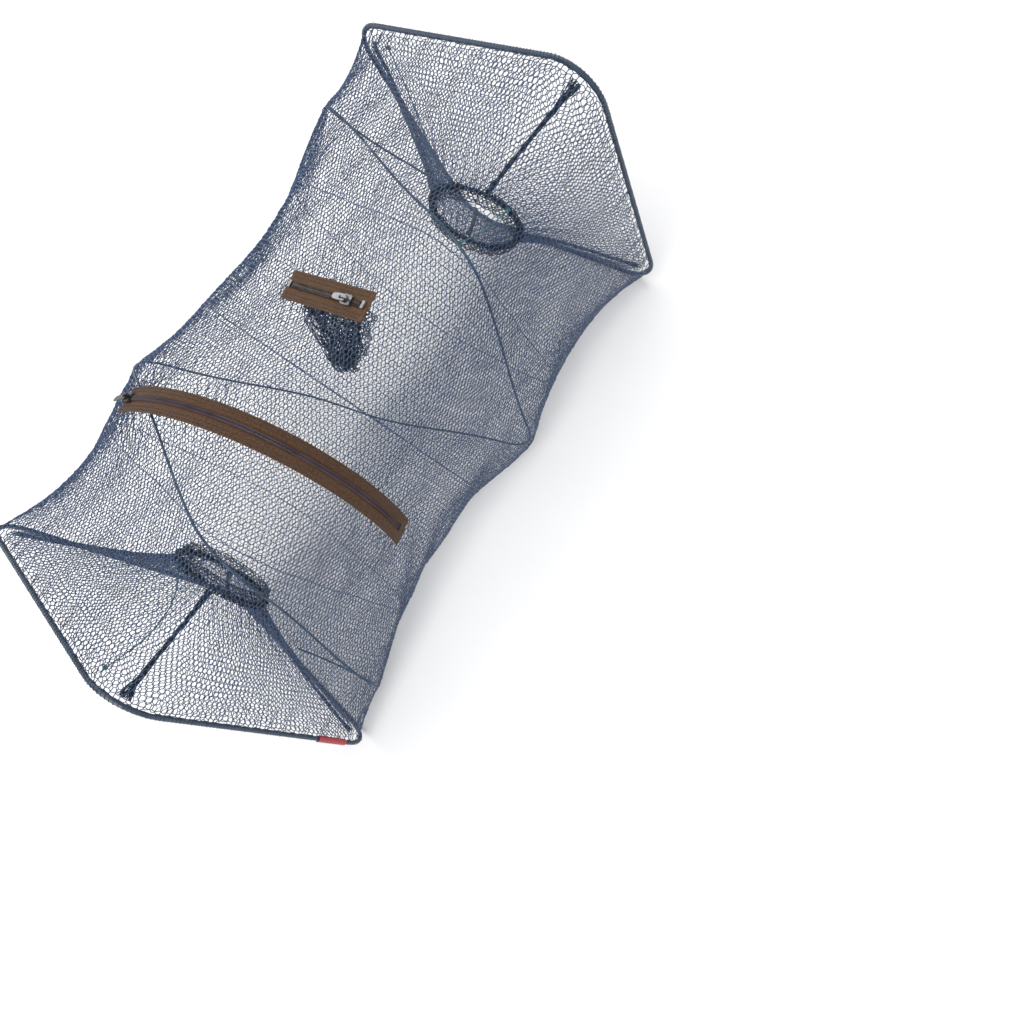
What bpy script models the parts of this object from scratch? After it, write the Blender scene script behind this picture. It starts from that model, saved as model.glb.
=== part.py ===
"""Folding crab trap: a square net tunnel on a coil spring, with a funnel mouth at each end.

The trap lies on one long side. X runs along it, from the rear end frame to the front one, Z is up
and Z = 0 is the ground under the frames' lower sides. Lengths are in metres, angles in radians.
Round the tunnel a place is given by its turn, from straight up towards -Y, and its radius.
"""

import math

import bmesh
import bpy
from mathutils import Vector

# Driving dimensions: the two end frames
LENGTH = 0.460
SIDE = 0.240
FRAME_WIRE_RADIUS = 0.0016
FRAME_CORNER = 0.034
FRONT_RACK = math.radians(10)
REAR_RACK = math.radians(-3)
SLEEVE_LENGTH = 0.030
SLEEVE_BOTTOM = -0.082
SLEEVE_WALL = 0.0007

# The coil spring inside the net
SPRING_WIRE_RADIUS = 0.0011
SPRING_HALF_WIDTH = 0.1137
SPRING_CORNER = 0.040
SPRING_TURNS = 1.93
SPRING_START_TURN = math.radians(-135)
SPRING_END_GAP = 0.012

# The net, thick enough here to be solid
NET_WALL = 0.0012
NET_OVER_SPRING = 0.0027
NET_HOLD = 0.0075
NET_FALL_FROM_SPRING = 1.1
NET_SLACK_HALF_WIDTH = 0.112
NET_SLACK_CORNER = 0.080
NET_END_GAP = 0.0030
NET_ROWS = 32
NET_FLAT_BESIDE_ZIP = 0.0035
NET_FADE_FROM_ZIP = 0.034

# Funnels and mouth rings
FUNNEL_DEPTH = 0.055
REAR_MOUTH_RISE = 0.006
FRONT_MOUTH_YAW = math.radians(18)
RING_RADIUS = 0.0375
RING_WIRE_RADIUS = 0.0012
FUNNEL_RIM_HALF_WIDTH = 0.1160
FUNNEL_ROWS = 4
COLLAR_LENGTH = 0.014
COLLAR_WALL = 0.0014
SEAM_RADIUS = 0.0010
SEAM_OFFSET = 0.0052
TWINE_RADIUS = 0.0005

# The catch zip, on a circular arc over the top and down the near side
CATCH_ARC_CENTRE = Vector((-0.100, 0.012, 0.126))
CATCH_ARC_RADIUS = 0.124
CATCH_ARC_AXIS = Vector((1.0, 0.381, -0.211)).normalized()
CATCH_ARC = (math.radians(-16.2), math.radians(103))
CATCH_SLIDER_AT = math.radians(-11)
CATCH_CHAIN_AHEAD = math.radians(5)
CATCH_CHAIN_BEHIND = math.radians(3.2)
CATCH_PULL_LENGTH = 0.024

# The bait zip, straight across the top, with the bait pouch under it
BAIT_START = Vector((0.0380, -0.0135, 0.2335))
BAIT_END = Vector((0.0500, -0.0905, 0.2305))
BAIT_CHAIN_MARGIN = 0.006
BAIT_SLIDER_AT = 0.060
BAIT_PULL_LENGTH = 0.012
POUCH_DEPTH = Vector((-0.030, 0.008, -0.042))
POUCH_MOUTH_HALF_LENGTH = 0.031
POUCH_FOOT_HALF_LENGTH = 0.010
POUCH_MOUTH_HALF_WIDTH = 0.0085
POUCH_WIDEST_HALF = 0.0100
POUCH_WALL = 0.0010
POUCH_GAP = 0.0045

# Zip sizes shared by both
TAPE_WIDTH = 0.0105
TAPE_THICKNESS = 0.0008
TAPE_OVER_NET = 0.0014
CHAIN_WIDTH = 0.0019
CHAIN_HEIGHT = 0.0013
HALF_GAP = 0.00015
CLEARANCE = 0.0003
STOP_LENGTH = 0.0022
STOP_OVERHANG = 0.0012
SLIDER_LENGTH = 0.0085
SLIDER_WIDTH = 0.0072
SLIDER_WALL = 0.0010
CROWN_HOLE = 0.0020
PULL_THICKNESS = 0.0009
PULL_WIDTH = 0.0046
PULL_TILT = math.radians(5)

HALF_LENGTH = LENGTH / 2
FRAME_WIRE_REACH = FRAME_WIRE_RADIUS * math.cos(math.pi / 8)
COLOURS = {
    "wire": (0.020, 0.075, 0.130, 0.35, 0.0),
    "sleeve": (0.400, 0.012, 0.020, 0.40, 0.0),
    "net": (0.030, 0.065, 0.110, 0.60, 0.0),
    "mouth": (0.008, 0.020, 0.035, 0.70, 0.0),
    "twine": (0.020, 0.260, 0.240, 0.50, 0.0),
    "tape": (0.210, 0.105, 0.035, 0.85, 0.0),
    "chain": (0.060, 0.035, 0.050, 0.40, 0.0),
    "dark_metal": (0.060, 0.058, 0.055, 0.35, 1.0),
    "bright_metal": (0.750, 0.750, 0.760, 0.25, 1.0),
}


def clear_scene():
    for item in list(bpy.data.objects):
        bpy.data.objects.remove(item, do_unlink=True)


def material(name):
    found = bpy.data.materials.get(name)
    if found:
        return found
    made = bpy.data.materials.new(name)
    made.use_nodes = True
    shader = made.node_tree.nodes["Principled BSDF"]
    red, green, blue, roughness, metallic = COLOURS[name]
    shader.inputs["Base Color"].default_value = (red, green, blue, 1.0)
    shader.inputs["Roughness"].default_value = roughness
    shader.inputs["Metallic"].default_value = metallic
    return made


def add_node(name, mesh_maker, colour, origin=Vector((0, 0, 0)), smooth=True):
    """Makes one named object from bmesh geometry given in world coordinates."""
    shape = bmesh.new()
    mesh_maker(shape)
    bmesh.ops.translate(shape, verts=shape.verts, vec=-origin)
    bmesh.ops.recalc_face_normals(shape, faces=shape.faces)
    mesh = bpy.data.meshes.new(name)
    shape.to_mesh(mesh)
    shape.free()
    if smooth:
        mesh.shade_smooth()
        mesh.set_sharp_from_angle(angle=math.radians(40))
    mesh.materials.append(material(colour))
    item = bpy.data.objects.new(name, mesh)
    item.location = origin
    bpy.context.scene.collection.objects.link(item)
    return item


# ---------------------------------------------------------------- solid builders


def skin(shape, rings, closed_path=False):
    """Joins rings of points into faces, with flat caps where the path is open."""
    rows = [[shape.verts.new(point) for point in ring] for ring in rings]
    count = len(rows[0])
    spans = len(rows) if closed_path else len(rows) - 1
    for index in range(spans):
        near, far = rows[index], rows[(index + 1) % len(rows)]
        for place in range(count):
            after = (place + 1) % count
            shape.faces.new((near[place], near[after], far[after], far[place]))
    if not closed_path:
        shape.faces.new(rows[0])
        shape.faces.new(rows[-1])


def sweep(shape, path, radius, across, closed_path=False, sides=8):
    """A round wire along a path. Its first facet faces the direction across gives."""
    count = len(path)
    rings = []
    for index, point in enumerate(path):
        before = path[(index - 1) % count] if closed_path else path[max(index - 1, 0)]
        after = path[(index + 1) % count] if closed_path else path[min(index + 1, count - 1)]
        tangent = (after - before).normalized()
        side = across(point)
        side = (side - tangent * side.dot(tangent)).normalized()
        up = tangent.cross(side)
        ring = []
        for step in range(sides):
            angle = math.tau * (step + 0.5) / sides
            ring.append(point + radius * (math.cos(angle) * side + math.sin(angle) * up))
        rings.append(ring)
    skin(shape, rings, closed_path)


def along_x(_point):
    return Vector((1, 0, 0))


def sleeve_wall(shape, rings_out, rings_in):
    """A tube with a wall, open at both ends: outer rings, inner rings and two flat rims."""
    outer = [[shape.verts.new(p) for p in ring] for ring in rings_out]
    inner = [[shape.verts.new(p) for p in ring] for ring in rings_in]
    count = len(outer[0])
    for place in range(count):
        after = (place + 1) % count
        for rows in (outer, inner):
            for near, far in zip(rows, rows[1:]):
                shape.faces.new((near[place], near[after], far[after], far[place]))
        for end in (0, -1):
            shape.faces.new((outer[end][place], outer[end][after], inner[end][after], inner[end][place]))


def box(shape, centre, axes, size):
    """A block centred on a point, with its sides along three given axes."""
    corners = bmesh.ops.create_cube(shape, size=1.0)["verts"]
    for corner in corners:
        local = corner.co.copy()
        corner.co = centre + sum((axes[i] * (local[i] * size[i]) for i in range(3)), Vector())


# ---------------------------------------------------------------- the tunnel's shape


def smooth_step(value):
    value = min(1.0, max(0.0, value))
    return value * value * (3 - 2 * value)


def mix(low, high, share):
    return low + (high - low) * share


def rack_at(x):
    return mix(REAR_RACK, FRONT_RACK, (x + HALF_LENGTH) / LENGTH)


def middle_height(x):
    return FRAME_WIRE_REACH + SIDE / 2 * math.cos(rack_at(x))


def tunnel_point(x, turn, radius):
    """The point at a turn and a radius round the tunnel, which leans sideways with its frames."""
    rack = rack_at(x)
    side, up = -math.sin(turn) * radius, math.cos(turn) * radius
    return Vector((x, side - up * math.sin(rack), middle_height(x) + up * math.cos(rack)))


def across_and_up(x, side, up):
    """The point at a distance towards -Y and a height from the tunnel's middle."""
    return tunnel_point(x, math.atan2(side, up), math.hypot(side, up))


def turn_and_radius(point):
    """The turn and radius that tunnel_point() would need for a point."""
    rack = rack_at(point.x)
    up = (point.z - middle_height(point.x)) / math.cos(rack)
    side = point.y + up * math.sin(rack)
    return math.atan2(-side, up), math.hypot(side, up)


def rounded_square(turn, half_width, corner):
    """How far a square with round corners reaches at a turn."""
    local = abs((turn + math.pi / 4) % (math.pi / 2) - math.pi / 4)
    straight = half_width - corner
    if half_width * math.tan(local) <= straight:
        return half_width / math.cos(local)
    toward = straight * (math.cos(local) + math.sin(local))
    return toward + math.sqrt(toward * toward - (2 * straight * straight - corner * corner))


def frame_loop(x, half_width, corner, steps=7):
    """Points round a frame, on an arc at each corner. The straight sides run between the arcs."""
    points = []
    straight = half_width - corner
    for quarter in range(4):
        base = math.pi / 4 + quarter * math.pi / 2
        for step in range(steps + 1):
            angle = base - math.pi / 4 + math.pi / 2 * step / steps
            side = straight * math.sqrt(2) * math.sin(base) + corner * math.sin(angle)
            up = straight * math.sqrt(2) * math.cos(base) + corner * math.cos(angle)
            points.append(across_and_up(x, side, up))
    return points


def spring_x(turn_from_start):
    return HALF_LENGTH - LENGTH * turn_from_start / (math.tau * SPRING_TURNS)


def spring_crossings(turn):
    """Where along X the spring passes a turn, from rear to front, with the frames at the ends."""
    first = (turn - SPRING_START_TURN) % math.tau
    found = [HALF_LENGTH]
    while spring_x(first) > -HALF_LENGTH + SPRING_END_GAP:
        if spring_x(first) < HALF_LENGTH - SPRING_END_GAP:
            found.append(spring_x(first))
        first += math.tau
    return sorted(found + [-HALF_LENGTH])


def free_net_radius(x, turn):
    """The net is held out by the frames and the spring, and pulls in between them."""
    held = spring_crossings(turn)
    behind = max(place for place in held if place <= x + 1e-9)
    ahead = min((place for place in held if place > behind), default=HALF_LENGTH)
    room = max(ahead - behind - 2 * NET_HOLD, NET_HOLD)
    share = min(1.0, max(0.0, (x - behind - NET_HOLD) / room))
    span = min(1.0, (ahead - behind) / (LENGTH / SPRING_TURNS))
    slack = 4 * share * (1 - share) * span

    def size_at(station):
        if abs(station) == HALF_LENGTH:
            return SIDE / 2, FRAME_CORNER
        return SPRING_HALF_WIDTH + NET_OVER_SPRING, SPRING_CORNER + NET_OVER_SPRING

    held_half = mix(size_at(behind)[0], size_at(ahead)[0], share)
    held_corner = mix(size_at(behind)[1], size_at(ahead)[1], share)
    half_width = mix(held_half, NET_SLACK_HALF_WIDTH, slack)
    corner = mix(held_corner, NET_SLACK_CORNER, slack)
    return rounded_square(turn, half_width, corner)


def radius_over_spring(x, turn):
    """How far out the spring keeps the net near each of its turns."""
    over = rounded_square(turn, SPRING_HALF_WIDTH + NET_OVER_SPRING, SPRING_CORNER + NET_OVER_SPRING)
    away = min((abs(x - crossing) for crossing in spring_crossings(turn)[1:-1]), default=LENGTH)
    return over - NET_FALL_FROM_SPRING * max(0.0, away - NET_HOLD)


# ---------------------------------------------------------------- where the zips run


class ArcPath:
    """The catch zip's line, measured by angle round its arc."""

    def __init__(self):
        self.start, self.end = CATCH_ARC
        up = Vector((0, 0, 1))
        self.first = (up - CATCH_ARC_AXIS * CATCH_ARC_AXIS.dot(up)).normalized()
        self.second = CATCH_ARC_AXIS.cross(self.first)

    def at(self, angle):
        """(point, direction along, direction outward, direction across) at an angle."""
        outward = math.cos(angle) * self.first + math.sin(angle) * self.second
        along = -math.sin(angle) * self.first + math.cos(angle) * self.second
        return CATCH_ARC_CENTRE + CATCH_ARC_RADIUS * outward, along, outward, CATCH_ARC_AXIS


class StraightPath:
    """The bait zip's line, measured by distance from its start."""

    def __init__(self):
        self.start, self.end = 0.0, (BAIT_END - BAIT_START).length
        self.along = (BAIT_END - BAIT_START).normalized()
        self.across = self.along.cross(Vector((0, 0, 1))).normalized() * -1
        self.outward = self.across.cross(self.along).normalized()
        if self.outward.z < 0:
            self.outward = -self.outward

    def at(self, distance):
        return BAIT_START + self.along * distance, self.along, self.outward, self.across


CATCH_PATH = ArcPath()
BAIT_PATH = StraightPath()


def samples(path, start, end, count):
    return [path.at(mix(start, end, index / (count - 1))) for index in range(count)]


PINS = [samples(path, path.start, path.end, 40) for path in (CATCH_PATH, BAIT_PATH)]


def nearest_pin(pins, here):
    return min(pins, key=lambda pin: (here - pin[0]).length_squared)


def net_radius(x, turn):
    """The net's radius, led to the underside of each zip where it passes one."""
    radius = free_net_radius(x, turn)
    middle = tunnel_point(x, turn, 0.0)
    ray = tunnel_point(x, turn, 1.0) - middle
    for pins in PINS:
        reach = radius
        for _round in range(4):
            point, along, outward, across = nearest_pin(pins, middle + ray * reach)
            facing = ray.dot(outward)
            if facing < 0.3:
                break
            under = point - outward * (TAPE_THICKNESS + TAPE_OVER_NET + NET_WALL / 2)
            reach = (under - middle).dot(outward) / facing
        if facing < 0.3:
            continue
        offset = middle + ray * reach - point
        outside = max(0.0, abs(offset.dot(across)) - TAPE_WIDTH - NET_FLAT_BESIDE_ZIP)
        beyond = max(0.0, abs(offset.dot(along)) - NET_FLAT_BESIDE_ZIP)
        weight = 1 - smooth_step(math.hypot(outside, beyond) / NET_FADE_FROM_ZIP)
        radius = mix(radius, reach, weight)
    return max(radius, radius_over_spring(x, turn))


# ---------------------------------------------------------------- frames, spring and net


def make_frame(name, x):
    loop = frame_loop(x, SIDE / 2, FRAME_CORNER)
    add_node(name, lambda shape: sweep(shape, loop, FRAME_WIRE_RADIUS, along_x, True), "wire")


def make_sleeve():
    """The crimped sleeve over the joint in the rear frame's wire, low on the near upright."""
    start = across_and_up(-HALF_LENGTH, SIDE / 2, SLEEVE_BOTTOM)
    end = across_and_up(-HALF_LENGTH, SIDE / 2, SLEEVE_BOTTOM + SLEEVE_LENGTH)
    upright = (end - start).normalized()
    side = Vector((1, 0, 0))
    out = upright.cross(side)
    bore = FRAME_WIRE_RADIUS + CLEARANCE

    def layer(radius):
        angles = [math.tau * (step + 0.5) / 8 for step in range(8)]
        arms = [radius * (math.cos(angle) * side + math.sin(angle) * out) for angle in angles]
        return [[point + arm for arm in arms] for point in (start, end)]

    outer, inner = layer(bore + SLEEVE_WALL), layer(bore)
    add_node("rear_frame_sleeve", lambda shape: sleeve_wall(shape, outer, inner), "sleeve")


def make_spring():
    """The coil spring: a square coil with round corners, cut off short of each end frame."""
    steps = 110
    start, end = HALF_LENGTH - SPRING_END_GAP, -HALF_LENGTH + SPRING_END_GAP
    path = []
    for step in range(steps + 1):
        x = mix(start, end, step / steps)
        turn = SPRING_START_TURN + (HALF_LENGTH - x) / LENGTH * math.tau * SPRING_TURNS
        path.append(tunnel_point(x, turn, rounded_square(turn, SPRING_HALF_WIDTH, SPRING_CORNER)))
    add_node(
        "spring_wire",
        lambda shape: sweep(shape, path, SPRING_WIRE_RADIUS, along_x, sides=6),
        "wire",
    )


def net_turns():
    """Turns round the net: evenly along each straight side, closer round each corner."""
    turns = []
    half_width, corner = SPRING_HALF_WIDTH + NET_OVER_SPRING, SPRING_CORNER + NET_OVER_SPRING
    straight = half_width - corner
    steps = 6
    for quarter in range(4):
        for step in range(steps):
            angle = math.pi / 2 * step / steps
            side, up = straight + corner * math.sin(angle), straight + corner * math.cos(angle)
            turns.append(quarter * math.pi / 2 + math.atan2(side, up))
        for step in range(steps):
            along = mix(straight, -straight, step / steps)
            turns.append(quarter * math.pi / 2 + math.atan2(half_width, along))
    return turns


def net_ring(x, offset):
    return [tunnel_point(x, turn, net_radius(x, turn) + offset) for turn in net_turns()]


def make_body_net():
    low, high = -HALF_LENGTH + NET_END_GAP, HALF_LENGTH - NET_END_GAP
    stations = [mix(low, high, row / NET_ROWS) for row in range(NET_ROWS + 1)]
    outer = [net_ring(x, NET_WALL / 2) for x in stations]
    inner = [net_ring(x, -NET_WALL / 2) for x in stations]
    add_node("body_net", lambda shape: sleeve_wall(shape, outer, inner), "net")


# ---------------------------------------------------------------- funnels and mouths


def mouth_centre(end):
    x = end * (HALF_LENGTH - FUNNEL_DEPTH)
    rise = REAR_MOUTH_RISE if end < 0 else 0.0
    return Vector((x, 0.0, middle_height(end * HALF_LENGTH) + rise))


def ring_point(end, turn, radius, ahead):
    """A point at a turn and radius round the mouth, a distance ahead of its ring, outwards."""
    yaw = FRONT_MOUTH_YAW if end > 0 else 0.0
    facing = Vector((math.cos(yaw), math.sin(yaw), 0)) * end
    near = Vector((math.sin(yaw), -math.cos(yaw), 0))
    up = Vector((0, 0, 1))
    return mouth_centre(end) + facing * ahead + radius * (math.sin(turn) * near + math.cos(turn) * up)


def funnel_point(end, turn, share, offset):
    """A point on the funnel net: share 0 at the frame, 1 at the mouth ring."""
    ahead = RING_WIRE_RADIUS + CLEARANCE + NET_WALL / 2
    rim_radius = rounded_square(turn, FUNNEL_RIM_HALF_WIDTH, FRAME_CORNER)
    rim = tunnel_point(end * HALF_LENGTH, turn, rim_radius + offset)
    ring = ring_point(end, turn, RING_RADIUS + 0.001 + offset, ahead)
    inward = 1 - (1 - share) ** 1.25
    return Vector((mix(rim.x, ring.x, share), mix(rim.y, ring.y, inward), mix(rim.z, ring.z, inward)))


def make_funnel(name, end):
    def layer(offset):
        rows = []
        for row in range(FUNNEL_ROWS + 1):
            rows.append([funnel_point(end, turn, row / FUNNEL_ROWS, offset) for turn in net_turns()])
        return rows

    outer, inner = layer(NET_WALL * 0.6), layer(-NET_WALL * 0.6)
    add_node(f"{name}_funnel_net", lambda shape: sleeve_wall(shape, outer, inner), "net")


def make_seams(name, end):
    """The four gathered seams from the frame's corners to the mouth, inside the funnel."""
    offset = -NET_WALL * 0.6 - SEAM_OFFSET
    for quarter, corner in enumerate(("top_near", "bottom_near", "bottom_far", "top_far")):
        turn = math.pi / 4 + quarter * math.pi / 2
        path = [funnel_point(end, turn, mix(0.05, 0.90, step / 6), offset) for step in range(7)]
        add_node(
            f"{name}_funnel_seam_{corner}",
            lambda shape, path=path: sweep(shape, path, SEAM_RADIUS, along_x, sides=6),
            "mouth",
        )


def make_mouth(name, end):
    centre = mouth_centre(end)
    loop = [ring_point(end, math.tau * step / 32, RING_RADIUS, 0.0) for step in range(32)]
    add_node(
        f"{name}_mouth_ring",
        lambda shape: sweep(shape, loop, RING_WIRE_RADIUS, along_x, True),
        "mouth",
        origin=centre,
    )
    def layer(outset):
        rows = []
        for share, radius in ((0.0, RING_RADIUS + 0.0006), (1.0, RING_RADIUS - 0.003)):
            ahead = -RING_WIRE_RADIUS - CLEARANCE - COLLAR_LENGTH * share
            turns = [math.tau * step / 24 for step in range(24)]
            rows.append([ring_point(end, turn, radius + outset, ahead) for turn in turns])
        return rows

    outer, inner = layer(0.0), layer(-COLLAR_WALL)
    add_node(
        f"{name}_mouth_collar",
        lambda shape: sleeve_wall(shape, outer, inner),
        "mouth",
        origin=centre,
    )


def make_twine(name, ends, sag):
    """A length of thin twine held at both ends, hanging a little between them."""
    start, end = ends
    path = []
    for step in range(9):
        share = step / 8
        path.append(start.lerp(end, share) - Vector((0, 0, sag * 4 * share * (1 - share))))
    add_node(name, lambda shape: sweep(shape, path, TWINE_RADIUS, along_x, sides=6), "twine")


def make_twines():
    """A slack twine in each mouth, from the frame's top to the ring, and a tether to the spring."""
    inset, bar_drop, sag = 0.0005, 0.0090, 0.020
    tie_radius = RING_RADIUS - 0.0013
    tie_ahead = RING_WIRE_RADIUS + TWINE_RADIUS + CLEARANCE + 0.0002
    for name, end, bar_side, ring_turn in (
        ("front_mouth_twine", 1, -0.085, math.radians(-33)),
        ("rear_mouth_twine", -1, 0.080, math.radians(-30)),
    ):
        bar = across_and_up(end * (HALF_LENGTH - inset), bar_side, SIDE / 2 - bar_drop)
        tie = ring_point(end, ring_turn, tie_radius, tie_ahead)
        make_twine(name, (bar, tie), sag)
    clear = RING_WIRE_RADIUS + TWINE_RADIUS + 2 * CLEARANCE
    ring_side = ring_point(1, math.radians(75), RING_RADIUS + clear, 0.0)
    corner_turn = math.radians(45)
    spring_inside = rounded_square(corner_turn, SPRING_HALF_WIDTH, SPRING_CORNER) - 2 * clear
    corner_x = spring_x(corner_turn - SPRING_START_TURN)
    make_twine("front_mouth_tether", (ring_side, tunnel_point(corner_x, corner_turn, spring_inside)), 0.003)


# ---------------------------------------------------------------- zips


def strip(shape, path, start, end, low, high, left, right, count):
    """A strip along a zip: heights low to high outward, from left to right across."""
    rings = []
    for point, _along, outward, across in samples(path, start, end, count):
        corners = ((low, left), (low, right), (high, right), (high, left))
        rings.append([point + outward * height + across * aside for height, aside in corners])
    skin(shape, rings)


def make_tapes(name, path, count):
    for side_name, side in (("front", 1), ("rear", -1)):
        add_node(
            f"{name}_tape_{side_name}",
            lambda shape, side=side: strip(
                shape, path, path.start, path.end, -TAPE_THICKNESS, 0.0,
                side * HALF_GAP, side * TAPE_WIDTH, count,
            ),
            "tape",
            smooth=False,
        )


def make_chain(name, path, start, end, count, colour):
    for side_name, side in (("front", 1), ("rear", -1)):
        add_node(
            f"{name}_coil_{side_name}",
            lambda shape, side=side: strip(
                shape, path, start, end, CLEARANCE, CLEARANCE + CHAIN_HEIGHT,
                side * HALF_GAP, side * (HALF_GAP + CHAIN_WIDTH), count,
            ),
            colour,
            smooth=False,
        )


def make_stops(name, path, places, colour):
    """The small clips that end the zip at both ends."""
    height = CHAIN_HEIGHT + CLEARANCE
    size = (STOP_LENGTH, 2 * CHAIN_WIDTH + STOP_OVERHANG, height)
    for side_name, where in zip(("start", "end"), places):
        point, along, outward, across = path.at(where)
        centre = point + outward * (CLEARANCE + height / 2)
        add_node(
            f"{name}_{side_name}_stop",
            lambda shape, centre=centre, axes=(along, across, outward): box(shape, centre, axes, size),
            colour,
            smooth=False,
        )


def make_slider(name, path, where, colour):
    """The slider: a channel over the zip's teeth, with an arched crown for the pull."""
    point, along, outward, across = path.at(where)
    axes = (along, across, outward)
    inner_top = 2 * CLEARANCE + CHAIN_HEIGHT
    top = inner_top + SLIDER_WALL
    crown_length = 0.0055
    crown_bar = 0.0010
    crown_width = 0.0012

    def outline():
        """The channel's section: across and outward, going round."""
        half = SLIDER_WIDTH / 2
        opening = CHAIN_WIDTH + 2 * HALF_GAP + CLEARANCE
        return [
            (-half, CLEARANCE), (-half, top - 0.0004), (-half + 0.0006, top), (half - 0.0006, top),
            (half, top - 0.0004), (half, CLEARANCE), (opening, CLEARANCE), (opening, inner_top),
            (-opening, inner_top), (-opening, CLEARANCE),
        ]

    def build(shape):
        rings = []
        for share, narrow in ((-0.5, 0.86), (-0.3, 1.0), (0.3, 1.0), (0.5, 0.80)):
            ring = []
            for aside, height in outline():
                keep = narrow if abs(aside) > SLIDER_WIDTH / 2 - 0.001 else 1.0
                corner = point + along * share * SLIDER_LENGTH
                ring.append(corner + across * aside * keep + outward * height)
            rings.append(ring)
        skin(shape, rings)

    body = add_node(f"{name}_slider", build, colour, origin=point)
    arch = bmesh.new()
    profile = [
        (-crown_length / 2, -0.0003), (-crown_length / 2, CROWN_HOLE + crown_bar * 0.4),
        (-crown_length / 2 + 0.0008, CROWN_HOLE + crown_bar),
        (crown_length / 2 - 0.0008, CROWN_HOLE + crown_bar),
        (crown_length / 2, CROWN_HOLE + crown_bar * 0.4), (crown_length / 2, -0.0003),
        (crown_length / 2 - crown_bar, -0.0003), (crown_length / 2 - crown_bar, CROWN_HOLE),
        (-crown_length / 2 + crown_bar, CROWN_HOLE), (-crown_length / 2 + crown_bar, -0.0003),
    ]
    skin(arch, [
        [along * run + across * side * crown_width / 2 + outward * (top + rise) for run, rise in profile]
        for side in (-1, 1)
    ])
    bmesh.ops.recalc_face_normals(arch, faces=arch.faces)
    crown_mesh = bpy.data.meshes.new(f"{name}_crown")
    arch.to_mesh(crown_mesh)
    arch.free()
    crown = bpy.data.objects.new(f"{name}_crown_cutter", crown_mesh)
    crown.location = point
    crown.hide_render = True
    crown.display_type = "WIRE"
    bpy.context.scene.collection.objects.link(crown)
    join = body.modifiers.new("crown", "BOOLEAN")
    join.operation = "UNION"
    join.solver = "EXACT"
    join.object = crown
    return point + outward * (top + CROWN_HOLE * 0.58), axes


def make_pull(name, pivot, axes, length, colour):
    """The pull tab: a flat bar with a window round the slider's crown, lying back along the zip."""
    along, across, outward = axes
    lie = (-along * math.cos(PULL_TILT) - outward * math.sin(PULL_TILT)).normalized()
    up = across.cross(lie).normalized()
    half = PULL_WIDTH / 2
    window_half = 0.0011
    window_end = 0.0046
    bar = 0.00045
    thick = PULL_THICKNESS / 2
    outer = [
        (-bar, -half + 0.0004), (-bar, half - 0.0004), (bar, half), (length * 0.55, half),
        (length - 0.0012, half * 0.82), (length, half * 0.45), (length, -half * 0.45),
        (length - 0.0012, -half * 0.82), (length * 0.55, -half), (bar, -half),
    ]
    window = [
        (bar, -window_half), (bar, window_half), (bar + 0.0002, window_half), (window_end, window_half),
        (window_end + 0.0006, window_half * 0.6), (window_end + 0.0008, window_half * 0.2),
        (window_end + 0.0008, -window_half * 0.2), (window_end + 0.0006, -window_half * 0.6),
        (window_end, -window_half), (bar + 0.0002, -window_half),
    ]

    def layer(points, height):
        return [pivot + lie * run + across * aside + up * height for run, aside in points]

    add_node(
        f"{name}_pull",
        lambda shape: sleeve_wall(
            shape, [layer(outer, -thick), layer(outer, thick)], [layer(window, -thick), layer(window, thick)]
        ),
        colour,
        origin=pivot,
    )


def make_catch_zip():
    chain_start = CATCH_SLIDER_AT - CATCH_CHAIN_BEHIND
    chain_end = CATCH_PATH.end - CATCH_CHAIN_AHEAD
    stop_gap = math.radians(0.8)
    make_tapes("catch_zip", CATCH_PATH, 40)
    make_chain("catch_zip", CATCH_PATH, chain_start, chain_end, 40, "chain")
    make_stops("catch_zip", CATCH_PATH, (chain_start - stop_gap, chain_end + stop_gap), "dark_metal")
    pivot, axes = make_slider("catch_zip", CATCH_PATH, CATCH_SLIDER_AT, "dark_metal")
    make_pull("catch_zip", pivot, axes, CATCH_PULL_LENGTH, "dark_metal")


def make_bait_zip():
    chain_start = BAIT_CHAIN_MARGIN
    chain_end = BAIT_PATH.end - BAIT_CHAIN_MARGIN
    stop_gap = 0.002
    make_tapes("bait_zip", BAIT_PATH, 8)
    make_chain("bait_zip", BAIT_PATH, chain_start, chain_end, 8, "bright_metal")
    make_stops("bait_zip", BAIT_PATH, (chain_start - stop_gap, chain_end + stop_gap), "bright_metal")
    pivot, axes = make_slider("bait_zip", BAIT_PATH, BAIT_SLIDER_AT, "bright_metal")
    make_pull("bait_zip", pivot, axes, BAIT_PULL_LENGTH, "bright_metal")


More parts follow.
